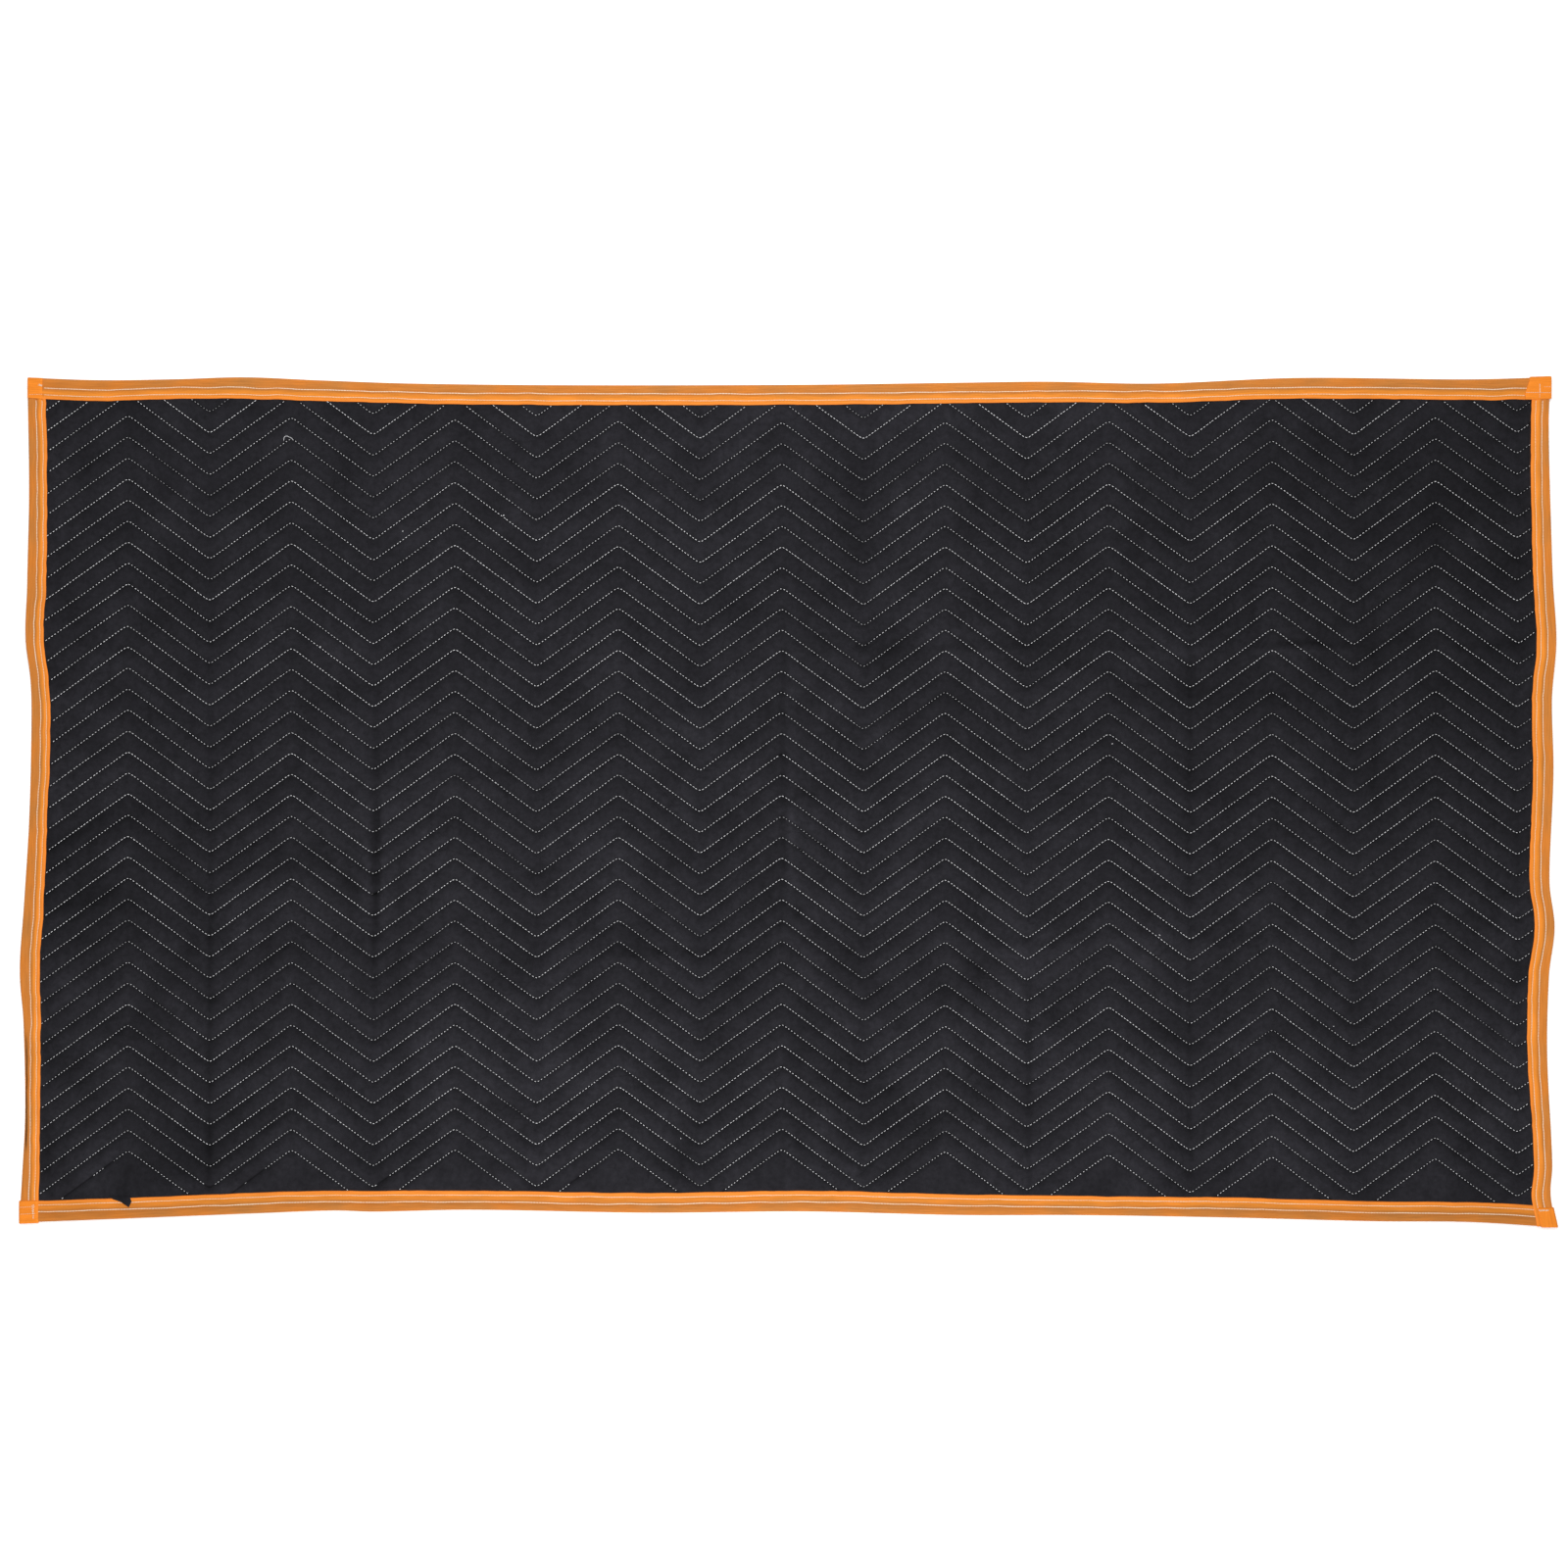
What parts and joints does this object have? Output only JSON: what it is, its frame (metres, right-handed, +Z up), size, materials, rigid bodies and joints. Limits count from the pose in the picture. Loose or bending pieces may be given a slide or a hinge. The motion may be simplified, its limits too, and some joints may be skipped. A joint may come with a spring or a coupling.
{
  "type": "quilted moving pad",
  "caption": "Flat quilted moving pad: black cloth sewn in chevrons over batting, with an orange cloth tape folded over each edge.",
  "frame": {"origin": "on the floor under the middle of the pad's outer box", "axes": "+X along the pad's long side, +Y across it, +Z up out of its face"},
  "size_m": [1.8384, 1.0168, 0.0104],
  "materials": {
    "quilt_cloth": "matte woven",
    "tape_cloth": "matte ribbed tape",
    "white_thread": "matte thread"
  },
  "bodies": {
    "root": {"quilted_panel": "quilt_cloth", "binding_top": "tape_cloth", "binding_bottom": "tape_cloth", "binding_left": "tape_cloth", "binding_right": "tape_cloth"}
  },
  "joints": []
}
